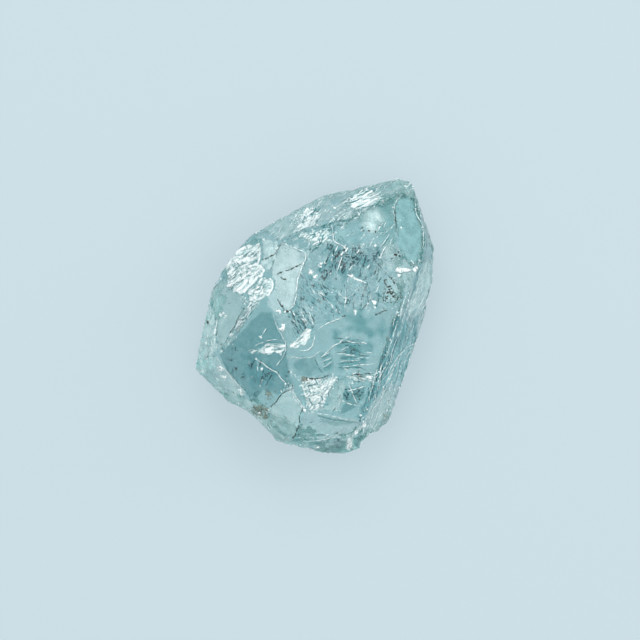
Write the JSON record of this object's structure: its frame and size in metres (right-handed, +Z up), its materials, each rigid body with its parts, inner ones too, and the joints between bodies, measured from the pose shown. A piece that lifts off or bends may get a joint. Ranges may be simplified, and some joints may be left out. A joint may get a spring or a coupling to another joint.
{
  "type": "rough aquamarine crystal",
  "caption": "Loose, uncut, see-through blue-green aquamarine crystal with broken faces, ribbed prism side and frosted cracks, lying on a flat fracture.",
  "frame": {"origin": "middle of the stone's outline, on the surface that it rests on", "axes": "+Y along the stone's length towards its pointed end, +X across it towards its ribbed side, +Z up from the resting face"},
  "size_m": [0.0178, 0.0206, 0.0114],
  "materials": {
    "aquamarine": "see-through blue-green beryl with glassy fracture faces, frosted cracks and small dark specks"
  },
  "bodies": {
    "root": {"crystal": "aquamarine"}
  },
  "joints": []
}
